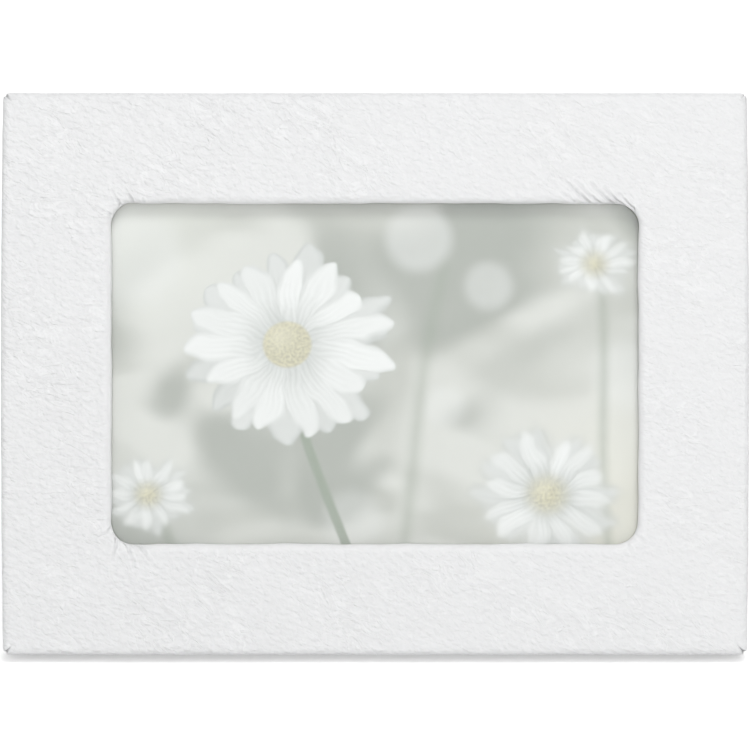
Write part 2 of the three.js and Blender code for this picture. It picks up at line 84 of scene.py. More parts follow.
def only(piece):
    for other in bpy.context.selected_objects:
        other.select_set(False)
    piece.select_set(True)
    bpy.context.view_layer.objects.active = piece


def editAll(piece, *steps):
    # runs edit-mode operators on the whole mesh
    only(piece)
    bpy.ops.object.mode_set(mode="EDIT")
    bpy.ops.mesh.select_all(action="SELECT")
    for step in steps:
        step()
    bpy.ops.object.mode_set(mode="OBJECT")


def applied(piece, kind, **settings):
    only(piece)
    modifier = piece.modifiers.new(kind.title(), kind)
    for key, value in settings.items():
        setattr(modifier, key, value)
    bpy.ops.object.modifier_apply(modifier=modifier.name)


# Camera: square to the picture, with a long lens, so that no side shows

camera = {
    "distance": 1.8,  # metres from the front face
    "widthShown": 204.28,
    "sensor": 36.0,
    "aim": -0.33,  # height of the view's middle on the picture
    "reach": 50,  # metres
}
cameraObject = bpy.data.objects.new("camera", bpy.data.cameras.new("camera"))
bpy.context.scene.collection.objects.link(cameraObject)
cameraObject.data.sensor_width = camera["sensor"]
cameraObject.data.lens = camera["sensor"] * camera["distance"] / (camera["widthShown"] * mm)
cameraObject.data.clip_end = camera["reach"]
cameraObject.location = place(0, size["front"], camera["aim"]) - inward * camera["distance"]
cameraObject.rotation_euler = Matrix((across, upward, -inward)).transposed().to_euler()
bpy.context.scene.camera = cameraObject
print("camera set")


# Small helpers for shader nodes

def feed(tree, node, inputs):
    # links sockets and sets plain values
    for key, value in inputs.items():
        if isinstance(value, bpy.types.NodeSocket):
            tree.links.new(value, node.inputs[key])
        else:
            node.inputs[key].default_value = value


def addNode(tree, kind, inputs=None, **settings):
    node = tree.nodes.new(kind)
    for key, value in settings.items():
        setattr(node, key, value)
    feed(tree, node, inputs or {})
    return node


def maths(tree, operation, *values, clamp=False):
    inputs = dict(enumerate(values))
    return addNode(tree, "ShaderNodeMath", inputs, operation=operation, use_clamp=clamp).outputs[0]


def vectors(tree, operation, *values):
    node = addNode(tree, "ShaderNodeVectorMath", dict(enumerate(values)), operation=operation)
    return node.outputs["Value" if operation in ("DOT_PRODUCT", "LENGTH") else "Vector"]


def smooth(tree, value, low, high, toLow=0.0, toHigh=1.0):
    # a soft step from one value to another
    inputs = {"Value": value, "From Min": low, "From Max": high, "To Min": toLow, "To Max": toHigh}
    return addNode(tree, "ShaderNodeMapRange", inputs, interpolation_type="SMOOTHSTEP").outputs[0]


def mixed(tree, factor, first, second):
    # of the Mix node's sockets, 6 and 7 are its colours and output 2 its colour result
    node = addNode(tree, "ShaderNodeMix", {0: factor}, data_type="RGBA")
    for index, value in ((6, first), (7, second)):
        feed(tree, node, {index: (*value, 1) if isinstance(value, tuple) else value})
    return node.outputs[2]


def noise(tree, vector, scale, detail=2.0, distortion=0.0, output="Fac", dimensions="3D"):
    inputs = {"Vector": vector, "Scale": scale, "Detail": detail, "Distortion": distortion}
    return addNode(tree, "ShaderNodeTexNoise", inputs, noise_dimensions=dimensions).outputs[output]


def flatNoise(*values, **settings):
    return noise(*values, dimensions="2D", **settings)


def drifted(tree, point, scale, detail, reach):
    # the point moved sideways by soft noise, so that straight patterns wander
    drift = flatNoise(tree, point, scale, detail=detail, output="Color")
    drift = vectors(tree, "SUBTRACT", drift, (0.5, 0.5, 0.5))
    return vectors(tree, "MULTIPLY_ADD", drift, (reach, reach, 0.0), point)


def newGroup(name, inputs, outputs):
    tree = bpy.data.node_groups.new(name, "ShaderNodeTree")
    for label, kind, value in inputs:
        socket = tree.interface.new_socket(label, in_out="INPUT", socket_type=kind)
        if value is not None:
            socket.default_value = value
    for label, kind in outputs:
        tree.interface.new_socket(label, in_out="OUTPUT", socket_type=kind)
    return tree, tree.nodes.new("NodeGroupInput").outputs, tree.nodes.new("NodeGroupOutput").inputs


def useGroup(tree, group, inputs):
    node = tree.nodes.new("ShaderNodeGroup")
    node.node_tree = group
    feed(tree, node, inputs)
    return node.outputs


def newMaterial(name, **values):
    # a Principled material, its constant values set on the shader itself
    material = bpy.data.materials.new(name)
    material.use_nodes = True
    tree = material.node_tree
    shader = tree.nodes["Principled BSDF"]
    for key, value in values.items():
        shader.inputs[key].default_value = value
    return material, tree, shader


def bumpInto(tree, shader, height, distance, strength=1.0):
    inputs = {"Height": height, "Distance": distance, "Strength": strength}
    bump = addNode(tree, "ShaderNodeBump", inputs)
    tree.links.new(bump.outputs[0], shader.inputs["Normal"])


def objectPoint(tree):
    # object coordinates in millimetres
    point = addNode(tree, "ShaderNodeTexCoord").outputs["Object"]
    return vectors(tree, "MULTIPLY", point, (1000, 1000, 1000))


floatSocket, vectorSocket = "NodeSocketFloat", "NodeSocketVector"


# Shared effects: grain of leather, nap of suede, fine scratches

def makeGrain():
    # soft pebbles, drawn out a little along the hide, with smaller ones between them
    tree, given, out = newGroup(
        "leatherGrain",
        [
            ("Point", vectorSocket, None),
            ("Pebble", floatSocket, 1.3),
            ("Angle", floatSocket, 0.0),
            ("Stretch", floatSocket, 0.66),
        ],
        [("Height", floatSocket)],
    )
    point = drifted(tree, given["Point"], 0.3, 2.0, 1.3)
    turned = addNode(
        tree, "ShaderNodeVectorRotate", {"Vector": point, "Angle": given["Angle"]}, rotation_type="Z_AXIS"
    ).outputs[0]
    drawn = addNode(tree, "ShaderNodeCombineXYZ", {0: given["Stretch"], 1: 1.0, 2: 1.0}).outputs[0]
    turned = vectors(tree, "MULTIPLY", turned, drawn)
    height = 0.0
    for finer, share, kind in ((1.0, 0.72, "SMOOTH_F1"), (2.1, 0.28, "F1")):
        count = maths(tree, "DIVIDE", finer, given["Pebble"])
        cell = addNode(
            tree, "ShaderNodeTexVoronoi", {"Vector": turned, "Scale": count},
            feature=kind, voronoi_dimensions="2D",
        )
        if kind == "SMOOTH_F1":
            cell.inputs["Smoothness"].default_value = 0.25
        dome = smooth(tree, cell.outputs["Distance"], 0.05, 0.75, 1.0, 0.0)
        height = maths(tree, "MULTIPLY_ADD", dome, share, height)
    tree.links.new(height, out["Height"])
    return tree


def makeWrinkles():
    # long fine furrows that run along one direction of the hide
    tree, given, out = newGroup(
        "leatherWrinkles",
        [("Point", vectorSocket, None), ("Angle", floatSocket, 0.0), ("Spacing", floatSocket, 4.0)],
        [("Height", floatSocket)],
    )
    turn = {"Vector": given["Point"], "Angle": given["Angle"]}
    turned = addNode(tree, "ShaderNodeVectorRotate", turn, rotation_type="Z_AXIS").outputs[0]
    stretched = vectors(tree, "MULTIPLY", turned, (0.42, 1.0, 1.0))
    count = maths(tree, "DIVIDE", 1.0, given["Spacing"])
    value = flatNoise(tree, stretched, count, detail=3.0, distortion=0.7)
    ridge = maths(tree, "ABSOLUTE", maths(tree, "SUBTRACT", value, 0.5))
    tree.links.new(smooth(tree, ridge, 0.0, 0.075), out["Height"])
    return tree


def makeCreaseGroup():
    # one short crease pressed in along a line: a groove between two low ridges
    tree, given, out = newGroup(
        "pressedCrease",
        [
            ("Point", vectorSocket, None),
            ("Start", vectorSocket, None),
            ("End", vectorSocket, None),
            ("Width", floatSocket, 0.6),
        ],
        [("Height", floatSocket), ("Groove", floatSocket), ("Ridge", floatSocket)],
    )
    away = vectors(tree, "SUBTRACT", given["Point"], given["Start"])
    span = vectors(tree, "SUBTRACT", given["End"], given["Start"])
    onSpan = vectors(tree, "DOT_PRODUCT", away, span)
    along = maths(tree, "DIVIDE", onSpan, vectors(tree, "DOT_PRODUCT", span, span), clamp=True)
    onLine = addNode(tree, "ShaderNodeVectorMath", {0: span, "Scale": along}, operation="SCALE").outputs[0]
    distance = vectors(tree, "LENGTH", vectors(tree, "SUBTRACT", away, onLine))
    share = maths(tree, "DIVIDE", distance, given["Width"])
    fade = maths(tree, "MULTIPLY_ADD", along, -0.75, 1.0)
    groove = maths(tree, "MULTIPLY", smooth(tree, share, 0.0, 1.0, 1.0, 0.0), fade)
    fromRidge = maths(tree, "ABSOLUTE", maths(tree, "SUBTRACT", share, 1.5))
    ridge = maths(tree, "MULTIPLY", smooth(tree, fromRidge, 0.0, 1.0, 0.7, 0.0), fade)
    tree.links.new(maths(tree, "SUBTRACT", ridge, groove), out["Height"])
    tree.links.new(groove, out["Groove"])
    tree.links.new(ridge, out["Ridge"])
    return tree


def makeNap():
    # short brushed fibres, light and dark where they lie over
    tree, given, out = newGroup(
        "suedeNap",
        [("Point", vectorSocket, None), ("Fibre", floatSocket, 0.25)],
        [("Height", floatSocket), ("Tone", floatSocket)],
    )
    count = maths(tree, "DIVIDE", 1.0, given["Fibre"])
    fibres = noise(tree, given["Point"], count, detail=3.0, distortion=1.5)
    brushed = noise(tree, given["Point"], 0.09, detail=3.0, distortion=0.8)
    tree.links.new(fibres, out["Height"])
    both = maths(tree, "ADD", maths(tree, "MULTIPLY", fibres, 0.35), maths(tree, "MULTIPLY", brushed, 0.65))
    tree.links.new(smooth(tree, both, 0.3, 0.7), out["Tone"])
    return tree


def makeScratches():
    # fine marks from tumbling and plating
    tree, given, out = newGroup(
        "fineScratches",
        [("Point", vectorSocket, None)],
        [("Height", floatSocket), ("Rough", floatSocket)],
    )
    streaks = noise(tree, vectors(tree, "MULTIPLY", given["Point"], (0.6, 6.0, 6.0)), 1.4, detail=4.0)
    clouds = noise(tree, given["Point"], 0.5, detail=3.0)
    tree.links.new(streaks, out["Height"])
    both = maths(tree, "ADD", maths(tree, "MULTIPLY", streaks, 0.5), maths(tree, "MULTIPLY", clouds, 0.5))
    tree.links.new(smooth(tree, both, 0.3, 0.7, 0.24, 0.36), out["Rough"])
    return tree


grainGroup = makeGrain()
wrinkleGroup = makeWrinkles()
creaseGroup = makeCreaseGroup()
napGroup = makeNap()
scratchGroup = makeScratches()


# White leather

leather = {
    "colour": (0.857, 0.861, 0.867),
    # painted shade in the crease grooves
    "creaseShadeColour": (0.72, 0.725, 0.735),
    # painted highlight on raised wrinkles and crease ridges, and how strongly it is mixed in
    "ridgeHighlightColour": (0.97, 0.975, 0.98),
    "ridgeHighlightShare": 1.9,
    "wrinkleHighlightShare": 0.5,
    # painted highlight on the window's rolled lip
    "lipHighlightColour": (0.93, 0.935, 0.94),
    # painted shadow in the folds at the outer corners
    "foldShadowColour": (0.2, 0.2, 0.205),
    "pebble": 1.5,
    "grainHeight": 0.27,
    "wrinkleHeight": 0.1,
    "wrinkleSpacing": 3.4,
    "creaseDepth": 0.5,
    "foldDepth": 0.5,
    "fineHeight": 0.03,
    "agedColour": (0.8, 0.795, 0.78),
    "lipWidth": 2.6,
    "lipHighlightShare": 0.8,
    "tightShare": 0.7,  # how much of the grain is lost where the hide is drawn tight
    "agedShare": 0.05,
    "livelyFrom": (-80.0, 90.0),  # x, from the liveliest grain to the calmest
    "mitre": 7.0,  # half the width in which side and rail wrinkles change over
    "furrowRough": 0.12,
    "pores": 2.6,  # to the millimetre
    "calmShare": 0.75,
    "roughness": 0.5,
    "grainAngle": math.radians(22),
    "sideAngle": math.radians(12),
    "railAngle": math.radians(36),
}


# Creases pressed into the leather where it is drawn round the window's corners.
# Each has its corner signs, its start and end from that corner, depth and half width.
creases = [
    (1, 1, (-10.3, -0.6), (-17.4, 6.4), 0.5, 0.55),
    (1, 1, (-7.1, -0.6), (-13.2, 5.6), 0.6, 0.55),
    (1, 1, (-13.6, -0.2), (-22.5, 8.6), 0.42, 0.6),
    (1, 1, (-4.4, -1.0), (-9.4, 4.4), 0.55, 0.5),
    (1, 1, (-1.6, -1.6), (-5.4, 2.6), 0.5, 0.5),
    (1, 1, (-17.6, 0.4), (-25.0, 6.4), 0.22, 0.6),
    (-1, -1, (7.3, 0.2), (12.0, -6.4), 0.42, 0.55),
    (-1, -1, (4.1, 0.6), (6.6, -6.8), 0.42, 0.55),
    (-1, -1, (0.2, 4.0), (-4.6, 1.6), 0.36, 0.55),
    (-1, -1, (1.6, 1.6), (0.2, -4.2), 0.42, 0.5),
    (-1, 1, (2.6, -0.8), (0.0, 3.8), 0.45, 0.45),
    (-1, 1, (5.8, -0.2), (4.0, 4.2), 0.42, 0.45),
    (-1, 1, (0.2, -3.4), (-4.2, -0.6), 0.4, 0.5),
    (-1, 1, (8.8, 0.0), (8.2, 2.6), 0.3, 0.5),
    (1, -1, (-0.6, 2.4), (3.4, -0.6), 0.2, 0.6),
    (1, -1, (-3.2, 0.2), (-1.2, -3.4), 0.2, 0.6),
]


# Short folds where the leather is tucked round an outer corner, in the same form, their grooves darkened
# with painted shadow
cornerFolds = [
    (1, -1, (29.4, -30.2), (27.6, -28.4), 1.0, 0.75),
    (-1, -1, (-29.4, -30.2), (-27.8, -28.6), 0.8, 0.6),
    (-1, 1, (-29.4, 30.2), (-27.9, 28.7), 0.7, 0.55),
    (1, 1, (29.4, 30.2), (28.2, 29.0), 0.35, 0.5),
]


def pressLines(tree, point, lines):
    # the height, the deepest groove and the sharpest ridge of a list of creases or folds
    height, groove, ridge = 0.0, 0.0, 0.0
    for signX, signZ, start, end, deep, half in lines:
        cornerX, cornerZ = signX * size["windowHalfX"], signZ * size["windowHalfZ"]
        made = useGroup(tree, creaseGroup, {
            "Point": point,
            "Width": half,
            "Start": (cornerX + start[0], cornerZ + start[1], 0),
            "End": (cornerX + end[0], cornerZ + end[1], 0),
        })
        height = maths(tree, "MULTIPLY_ADD", made["Height"], deep, height)
        groove = maths(tree, "MAXIMUM", maths(tree, "MULTIPLY", made["Groove"], deep), groove, clamp=True)
        ridge = maths(tree, "MAXIMUM", maths(tree, "MULTIPLY", made["Ridge"], deep), ridge, clamp=True)
    return height, groove, ridge


def makeLeather():
    material, tree, shader = newMaterial(
        "whiteLeather", **{"Specular IOR Level": 0.42, "Sheen Weight": 0.05}
    )
    sheet = addNode(tree, "ShaderNodeUVMap", uv_map="sheet").outputs[0]
    point = vectors(tree, "MULTIPLY", sheet, (1000, 1000, 0))
    parts = addNode(tree, "ShaderNodeSeparateXYZ", {0: point}).outputs
    # the side rails lie where the point is further past the window sideways than up
    pastX = maths(tree, "SUBTRACT", maths(tree, "ABSOLUTE", parts[0]), size["windowHalfX"])
    pastZ = maths(tree, "SUBTRACT", maths(tree, "ABSOLUTE", parts[1]), size["windowHalfZ"])
    onSide = smooth(tree, maths(tree, "SUBTRACT", pastX, pastZ), -leather["mitre"], leather["mitre"])
    offSide = maths(tree, "SUBTRACT", 1.0, onSide)
    pebbled = {"Point": point, "Pebble": leather["pebble"], "Angle": leather["grainAngle"]}
    grain = useGroup(tree, grainGroup, pebbled)["Height"]
    furrows = []
    for angle, share in ((leather["sideAngle"], onSide), (leather["railAngle"], offSide)):
        lines = {"Point": point, "Angle": angle, "Spacing": leather["wrinkleSpacing"]}
        valley = maths(tree, "SUBTRACT", 1.0, useGroup(tree, wrinkleGroup, lines)["Height"])
        furrows.append(maths(tree, "MULTIPLY", valley, share))
    # the hide is drawn tight and smooth over the lip, and there its colour is also lightened as a painted
    # highlight
    radius = size["windowRadius"]
    arcX = maths(tree, "MAXIMUM", maths(tree, "ADD", pastX, radius), 0.0)
    arcZ = maths(tree, "MAXIMUM", maths(tree, "ADD", pastZ, radius), 0.0)
    arm = addNode(tree, "ShaderNodeCombineXYZ", {0: arcX, 1: arcZ}).outputs[0]
    fromArc = vectors(tree, "LENGTH", arm)
    tightAndLitLip = smooth(tree, fromArc, radius, radius + leather["lipWidth"], 1.0, 0.0)
    # and it is livelier on the left than on the right
    lively = smooth(tree, parts[0], *leather["livelyFrom"], 1.0, leather["calmShare"])
    loose = maths(tree, "MULTIPLY_ADD", tightAndLitLip, -leather["tightShare"], 1.0)
    lively = maths(tree, "MULTIPLY", lively, loose)
    patchy = smooth(tree, flatNoise(tree, point, 0.05, detail=2.0), 0.35, 0.62, 0.25, 1.0)
    furrow = maths(tree, "MULTIPLY", maths(tree, "ADD", *furrows), maths(tree, "MULTIPLY", lively, patchy))
    pebbles = maths(tree, "MULTIPLY", grain, lively)
    wandered = drifted(tree, point, 0.45, 1.0, 0.7)
    pressed, grooveShade, ridges = pressLines(tree, wandered, creases)
    folded, foldShadow, _ = pressLines(tree, point, cornerFolds)
    tone = smooth(tree, flatNoise(tree, point, 0.03, detail=3.0), 0.3, 0.7, 0.0, leather["agedShare"])
    # painted shade: the crease grooves are darkened in colour
    colour = mixed(tree, grooveShade, leather["colour"], leather["creaseShadeColour"])
    # raised lines are painted lighter than the hide between them: a painted highlight on the wrinkles and
    # crease ridges
    ridgeHighlight = maths(tree, "MULTIPLY", furrow, leather["wrinkleHighlightShare"])
    ridgeHighlight = maths(tree, "MULTIPLY_ADD", ridges, leather["ridgeHighlightShare"], ridgeHighlight, clamp=True)
    colour = mixed(tree, ridgeHighlight, colour, leather["ridgeHighlightColour"])
    colour = mixed(tree, tone, colour, leather["agedColour"])
    # painted highlight: the rolled lip is lightened in colour, standing in for the light on it
    lipHighlight = maths(tree, "MULTIPLY", tightAndLitLip, leather["lipHighlightShare"])
    colour = mixed(tree, lipHighlight, colour, leather["lipHighlightColour"])
    # painted shadow: the corner folds are darkened in colour
    colour = mixed(tree, foldShadow, colour, leather["foldShadowColour"])
    tree.links.new(colour, shader.inputs["Base Color"])
    rough = maths(tree, "MULTIPLY_ADD", furrow, leather["furrowRough"], leather["roughness"])
    tree.links.new(rough, shader.inputs["Roughness"])
    height = maths(tree, "MULTIPLY", pebbles, leather["grainHeight"])
    height = maths(tree, "MULTIPLY_ADD", furrow, leather["wrinkleHeight"], height)
    height = maths(tree, "MULTIPLY_ADD", folded, leather["foldDepth"], height)
    height = maths(tree, "MULTIPLY_ADD", pressed, leather["creaseDepth"], height)
    pores = flatNoise(tree, point, leather["pores"], detail=1.0)
    height = maths(tree, "MULTIPLY_ADD", pores, leather["fineHeight"], height)
    bumpInto(tree, shader, height, mm)
    return material


# Suede paper, board, card, metal, ribbon, glass

finishes = {
    # dark and light tone, and relief in millimetres
    "suede": {"dark": (0.5, 0.49, 0.465), "light": (0.66, 0.65, 0.62), "relief": 0.12, "fibre": 0.3},
    "board": {"dark": (0.31, 0.2, 0.11), "light": (0.5, 0.36, 0.22), "relief": 0.08},
    "card": {"dark": (0.36, 0.34, 0.3), "light": (0.47, 0.45, 0.41), "relief": 0.05},
    "nickel": {"dark": (0.55, 0.535, 0.505), "light": (0.62, 0.605, 0.575), "relief": 0.008},
    # rib and thread are the pitches of the weave
    "weave": {
        "dark": (0.66, 0.65, 0.62), "light": (0.8, 0.79, 0.76), "relief": 0.03, "rib": 0.45, "thread": 0.3,
    },
}


def makeSuede():
    suede = finishes["suede"]
    material, tree, shader = newMaterial("greySuede", **{"Roughness": 0.92, "Sheen Weight": 0.25})
    nap = useGroup(tree, napGroup, {"Point": objectPoint(tree), "Fibre": suede["fibre"]})
    tree.links.new(mixed(tree, nap["Tone"], suede["dark"], suede["light"]), shader.inputs["Base Color"])
    bumpInto(tree, shader, nap["Height"], suede["relief"] * mm)
    return material


def makeBoard():
    board = finishes["board"]
    material, tree, shader = newMaterial("fibreboard", Roughness=0.85)
    point = objectPoint(tree)
    flecks = noise(tree, point, 2.2, detail=4.0)
    clouds = noise(tree, point, 0.15, detail=2.0)
    both = maths(tree, "ADD", maths(tree, "MULTIPLY", flecks, 0.7), maths(tree, "MULTIPLY", clouds, 0.3))
    colour = mixed(tree, smooth(tree, both, 0.3, 0.7), board["dark"], board["light"])
    tree.links.new(colour, shader.inputs["Base Color"])
    bumpInto(tree, shader, flecks, board["relief"] * mm)
    return material


def makeCard():
    card = finishes["card"]
    material, tree, shader = newMaterial("greyCard", Roughness=0.9)
    pulp = noise(tree, objectPoint(tree), 1.6, detail=4.0)
    colour = mixed(tree, smooth(tree, pulp, 0.3, 0.7), card["dark"], card["light"])
    tree.links.new(colour, shader.inputs["Base Color"])
    bumpInto(tree, shader, pulp, card["relief"] * mm)
    return material


def makeNickel():
    nickel = finishes["nickel"]
    material, tree, shader = newMaterial("nickelPlate", Metallic=1.0)
    point = objectPoint(tree)
    marks = useGroup(tree, scratchGroup, {"Point": point})
    tree.links.new(marks["Rough"], shader.inputs["Roughness"])
    tone = smooth(tree, noise(tree, point, 0.7, detail=3.0), 0.3, 0.7)
    colour = mixed(tree, tone, nickel["dark"], nickel["light"])
    tree.links.new(colour, shader.inputs["Base Color"])
    bumpInto(tree, shader, marks["Height"], nickel["relief"] * mm)
    return material


def makeRibbon():
    woven = finishes["weave"]
    material, tree, shader = newMaterial("wovenRibbon", **{"Roughness": 0.55, "Sheen Weight": 0.3})
    sheet = addNode(tree, "ShaderNodeUVMap", uv_map="sheet").outputs[0]
    point = vectors(tree, "MULTIPLY", sheet, (1000, 1000, 0))
    parts = addNode(tree, "ShaderNodeSeparateXYZ", {0: point}).outputs
    ribs = maths(tree, "SINE", maths(tree, "MULTIPLY", parts[1], 2 * math.pi / woven["rib"]))
    threads = maths(tree, "SINE", maths(tree, "MULTIPLY", parts[0], 2 * math.pi / woven["thread"]))
    weave = maths(tree, "MULTIPLY_ADD", threads, 0.3, ribs)
    colour = mixed(tree, smooth(tree, weave, -1.2, 1.2), woven["dark"], woven["light"])
    tree.links.new(colour, shader.inputs["Base Color"])
    bumpInto(tree, shader, weave, woven["relief"] * mm)
    return material


def makeGlass():
    # shadows and diffuse light pass straight through, so that the print isn't left dark
    glass = {"Base Color": (0.97, 0.99, 0.98, 1), "Roughness": 0.0, "IOR": 1.45, "Transmission Weight": 1.0}
    material, tree, shader = newMaterial("clearGlass", **glass)
    clear = addNode(tree, "ShaderNodeBsdfTransparent")
    path = addNode(tree, "ShaderNodeLightPath").outputs
    passing = maths(tree, "MAXIMUM", path["Is Shadow Ray"], path["Is Diffuse Ray"])
    join = addNode(tree, "ShaderNodeMixShader", {0: passing, 1: shader.outputs[0], 2: clear.outputs[0]})
    tree.links.new(join.outputs[0], tree.nodes["Material Output"].inputs["Surface"])
    return material


# The print: a made-up garden of daisies in soft grey-green, all of simple shapes

def makePetalRing():
    # one ring of slim petals, each a little different in length and lie
    tree, given, out = newGroup(
        "petalRing",
        [
            ("Point", vectorSocket, None),
            ("Middle", vectorSocket, None),
            ("Radius", floatSocket, 20.0),
            ("Petals", floatSocket, 13.0),
            ("Width", floatSocket, 3.0),
            ("Turn", floatSocket, 0.0),
            ("Blur", floatSocket, 0.5),
            ("Squash", floatSocket, 1.0),
        ],
        [("Mask", floatSocket), ("Shade", floatSocket)],
    )
    offset = vectors(tree, "SUBTRACT", given["Point"], given["Middle"])
    wobble = flatNoise(tree, given["Point"], 0.12, detail=1.0, output="Color")
    wobble = vectors(tree, "MULTIPLY", vectors(tree, "SUBTRACT", wobble, (0.5, 0.5, 0.5)), (4, 4, 0))
    offset = vectors(tree, "ADD", offset, wobble)
    parts = addNode(tree, "ShaderNodeSeparateXYZ", {0: offset}).outputs
    tall = maths(tree, "DIVIDE", parts[1], given["Squash"])
    angle = maths(tree, "ADD", maths(tree, "ARCTAN2", tall, parts[0]), given["Turn"])
    reach = addNode(tree, "ShaderNodeCombineXYZ", {0: parts[0], 1: tall}).outputs[0]
    distance = vectors(tree, "LENGTH", reach)
    turns = maths(tree, "DIVIDE", maths(tree, "MULTIPLY", angle, given["Petals"]), 2 * math.pi)
    number = maths(tree, "FLOOR", turns)
    # the last sector is the first one come round again
    number = maths(tree, "FLOORED_MODULO", number, given["Petals"])
    own = {"W": maths(tree, "ADD", number, given["Turn"])}
    chance = addNode(tree, "ShaderNodeTexWhiteNoise", own, noise_dimensions="1D")
    random = addNode(tree, "ShaderNodeSeparateColor", {0: chance.outputs["Color"]}).outputs
    lie = maths(tree, "MULTIPLY", maths(tree, "SUBTRACT", random[0], 0.5), 0.4)
    local = maths(tree, "SUBTRACT", maths(tree, "FRACT", turns), maths(tree, "ADD", 0.5, lie))
    local = maths(tree, "DIVIDE", maths(tree, "MULTIPLY", local, 2 * math.pi), given["Petals"])
    sideways = maths(tree, "MULTIPLY", distance, maths(tree, "SINE", local))
    length = maths(tree, "MULTIPLY", given["Radius"], maths(tree, "MULTIPLY_ADD", random[1], 0.2, 0.85))
    along = maths(tree, "DIVIDE", distance, length, clamp=True)
    belly = maths(tree, "SINE", maths(tree, "MULTIPLY", maths(tree, "POWER", along, 1.35), math.pi))
    belly = maths(tree, "POWER", maths(tree, "MAXIMUM", belly, 0.0001), 0.5)
    breadth = maths(tree, "MULTIPLY", given["Width"], maths(tree, "MULTIPLY_ADD", random[2], 0.3, 0.85))
    half = maths(tree, "MULTIPLY", belly, breadth)
    within = maths(tree, "SUBTRACT", half, maths(tree, "ABSOLUTE", sideways))
    edge = maths(tree, "DIVIDE", within, given["Blur"])
    ends = maths(tree, "DIVIDE", maths(tree, "SUBTRACT", length, distance), given["Blur"])
    mask = maths(tree, "MULTIPLY", smooth(tree, edge, -1.0, 1.0), smooth(tree, ends, -1.0, 1.0))
    tree.links.new(mask, out["Mask"])
    deep = smooth(tree, along, 0.12, 0.6, 0.55, 0.0)
    lines = maths(tree, "SINE", maths(tree, "MULTIPLY", sideways, 2 * math.pi / 1.5))
    lines = maths(tree, "MULTIPLY_ADD", lines, 0.5, 0.5)
    lines = maths(tree, "MULTIPLY", lines, smooth(tree, along, 0.4, 0.95, 0.16, 0.02))
    rim = smooth(tree, maths(tree, "DIVIDE", within, given["Width"]), 0.0, 0.4, 0.3, 0.0)
    tint = maths(tree, "MULTIPLY", random[0], 0.22)
    shade = maths(tree, "ADD", maths(tree, "ADD", deep, lines), maths(tree, "ADD", rim, tint))
    tree.links.new(shade, out["Shade"])
    return tree


printPicture = {
    "field": (0.45, 0.46, 0.42),
    "fieldLight": (0.62, 0.625, 0.59),
    "fieldDark": (0.28, 0.3, 0.265),
    "petal": (0.8, 0.805, 0.8),
    "petalShade": (0.4, 0.42, 0.4),
    "heart": (0.6, 0.56, 0.36),
    "heartDark": (0.36, 0.33, 0.2),
    "heartGlow": (0.78, 0.74, 0.55),
    "heartShare": 0.21,
    "petalWidth": 0.155,
    "stemColour": (0.2, 0.245, 0.18),
    # middle x, middle z, how far it reaches, strength and colour of broad soft light
    "glows": [
        (72, -46, 55.0, 0.7, (0.76, 0.74, 0.65)),
        (-70, 48, 50.0, 0.6, (0.74, 0.75, 0.7)),
    ],
    # middle x, middle z, radius, petals, turn, blur, squash: millimetres on the print
    "flowers": [
        (47.0, -33.0, 21.0, 12.0, 0.5, 3.2, 0.9),
        (60.0, 30.0, 12.0, 11.0, 0.2, 3.0, 0.8),
        (-62.0, -33.0, 13.0, 12.0, 0.9, 2.6, 0.85),
        (-24.0, 8.0, 30.0, 15.0, 0.35, 0.55, 0.93),
    ],
    # middle x, middle z, radius, blur, lightness of soft round patches
    "discs": [
        (12.0, 37.0, 9.0, 2.5, 0.4),
        (31.0, 24.0, 6.5, 2.2, 0.35),
        (-66.0, 32.0, 13.0, 4.0, 0.3),
        (19.0, -9.0, 5.5, 2.2, 0.25),
        (69.0, 0.0, 9.0, 4.0, 0.3),
        (-6.0, -40.0, 8.0, 3.0, 0.25),
    ],
    # top x, top z, bottom x, bottom z, half width, blur, share
    "stems": [
        (47.0, -33.0, 58.0, -75.0, 1.6, 1.8, 0.5),
        (60.0, 30.0, 66.0, -60.0, 1.2, 1.8, 0.45),
        (20.0, 30.0, 4.0, -60.0, 1.5, 2.2, 0.4),
        (-62.0, -33.0, -50.0, -70.0, 1.4, 1.5, 0.5),
        (-23.0, 0.0, -4.0, -60.0, 1.25, 0.5, 0.9),
    ],
}


